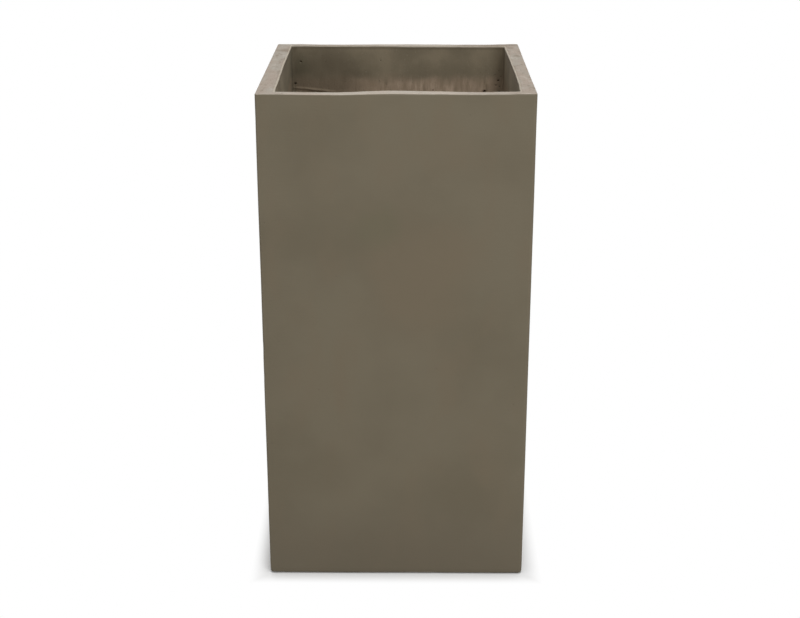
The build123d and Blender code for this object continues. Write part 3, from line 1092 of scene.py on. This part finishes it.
# %% Moulded parts
def moulded(name, deep, bloom, roughness, dust):
    """Moulded plastic or rubber: deep colour, pale bloom, and a share of dust on what faces up."""
    finish = Finish(name)
    deep, bloom = from_screen(*deep), from_screen(*bloom)
    skin = finish.grain(700, 3, shift=1.0, roughness=0.6)
    cloudy = finish.grain(90, 3, shift=2.0)
    finish.colour = finish.mix(finish.rise(cloudy, 0.40, 0.75) * 0.7, deep, bloom)
    settled = finish.facing_up(0.3, 0.95) * dust * finish.rise(cloudy + 0.4 * skin, 0.45, 0.95)
    finish.lay(settled, RAW_PALE)
    finish.lay(finish.rise(skin, 0.62, 0.80) * 0.2, bloom)
    return finish.shade(roughness + 0.12 * cloudy + 0.2 * settled, 0.2 * skin, depth=0.0004)


wear(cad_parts["drain_sleeve"], moulded("sleeve_plastic", (58, 58, 60), (82, 82, 84), 0.38, 0.45))
wear(rubber_plug, moulded("plug_rubber", (30, 30, 31), (58, 57, 56), 0.62, 0.35))
foot_finish = moulded("foot_rubber", (38, 38, 38), (66, 64, 61), 0.70, 0.0)
for foot in feet:
    wear(foot, foot_finish)

# %% [markdown]
# ## Camera
#
# The photograph looks slightly down on the front, from about two metres. The place, the lens and the tilt
# come from fitting the planter's outer corners and edges to the picture's.

# %% Camera
camera_data = bpy.data.cameras.new("camera")
camera_data.lens = 65.43
camera = add_object("camera", camera_data)
camera.matrix_world = (
    Matrix.Translation((0.01426, -2.00527, 1.07993))
    @ Matrix.Rotation(math.radians(0.279), 4, "Z")
    @ Matrix.Rotation(math.radians(90 - 20.301), 4, "X")
    @ Matrix.Rotation(math.radians(0.055), 4, "Z")
)
bpy.context.scene.camera = camera

# %% [markdown]
# ## Light
#
# Four soft boxes light the planter at a plain level: a broad one overhead, which also reaches down inside, one
# high in front on the right, and two weak ones, low in front and behind. Area lights have soft edges to their
# shadows. They stay out of the camera's view, and the world's even light fills the other sides.

# %% Soft boxes
def soft_box(name, place, target, size, energy):
    """A square area light at a place, turned to a target."""
    light = bpy.data.lights.new(name, "AREA")
    light.size = size
    light.energy = energy
    box = add_object(name, light)
    aim = (Vector(place) - Vector(target)).to_track_quat("Z", "Y")
    box.matrix_world = Matrix.Translation(place) @ aim.to_matrix().to_4x4()
    box.visible_camera = False


soft_box("overhead_box", (0.15, 0, 2.60), (0, 0, 0.5), 1.8, 25)
soft_box("high_front_box", (0.45, -1.60, 2.80), (0, 0, 0.5), 1.4, 30)
soft_box("low_front_box", (0.30, -1.60, 0.35), (0, -0.18, 0.35), 0.7, 4)
soft_box("rear_box", (-0.60, 1.80, 1.60), (0, 0, 0.35), 1.2, 7)

# %% [markdown]
# The background is white to the camera and in reflections only. For its light on the planter the world is
# dimmer, which a Light Path node tells apart. The floor works the same way: pale to the camera, with a trace
# of shadow close to the planter, plain white further out, and darker for the light that it throws back. It is
# clear from beneath and open under the planter, so that the underside can be seen.

# %% World
world = bpy.data.worlds.new("world")
bpy.context.scene.world = world
sky = Tree(world)
strength = sky.node("ShaderNodeMapRange", {}, {0: sky.seen(), 3: 0.40})
background = sky.node("ShaderNodeBackground", {}, {"Color": (1, 1, 1, 1), "Strength": strength})
sky.node("ShaderNodeOutputWorld", {}, {0: background})

# %% Floor
def studio_floor():
    """Pale to the eye, dimmer for bounced light, clear from beneath."""
    finish = Finish("studio_floor")
    seen = finish.seen()
    far = finish.rise(abs(finish.x).most(abs(finish.y)), 0.180, 0.210)
    tone = finish.mix(seen, (0.38, 0.38, 0.38, 1), (0.9, 0.9, 0.9, 1))
    paper = finish.node("ShaderNodeBsdfDiffuse", {}, {"Color": tone})
    white = finish.node("ShaderNodeEmission", {}, {"Color": (1, 1, 1, 1), "Strength": 1.0})
    front = finish.node("ShaderNodeMixShader", {}, {0: seen * far, 1: paper, 2: white})
    clear = finish.node("ShaderNodeBsdfTransparent")
    beneath = finish.node("ShaderNodeNewGeometry", output="Backfacing")
    surface = finish.node("ShaderNodeMixShader", {}, {0: beneath, 1: front, 2: clear})
    finish.node("ShaderNodeOutputMaterial", {}, {0: surface})
    return finish.material


FLOOR_HALF = 12.0
UNDER_PLANTER = 0.176

bm = bmesh.new()
bmesh.ops.create_grid(bm, x_segments=1, y_segments=1, size=FLOOR_HALF)
bmesh.ops.inset_region(
    bm, faces=bm.faces[:], thickness=FLOOR_HALF - UNDER_PLANTER, use_boundary=True, use_even_offset=True
)
bmesh.ops.delete(bm, geom=[face for face in bm.faces if face.calc_area() < 1], context="FACES_ONLY")
ground = bpy.data.meshes.new("floor")
bm.to_mesh(ground)
bm.free()
floor = add_object("floor", ground)
ground.materials.append(studio_floor())
print("floor of", len(ground.polygons), "faces")

bpy.context.scene.view_settings.view_transform = "Standard"
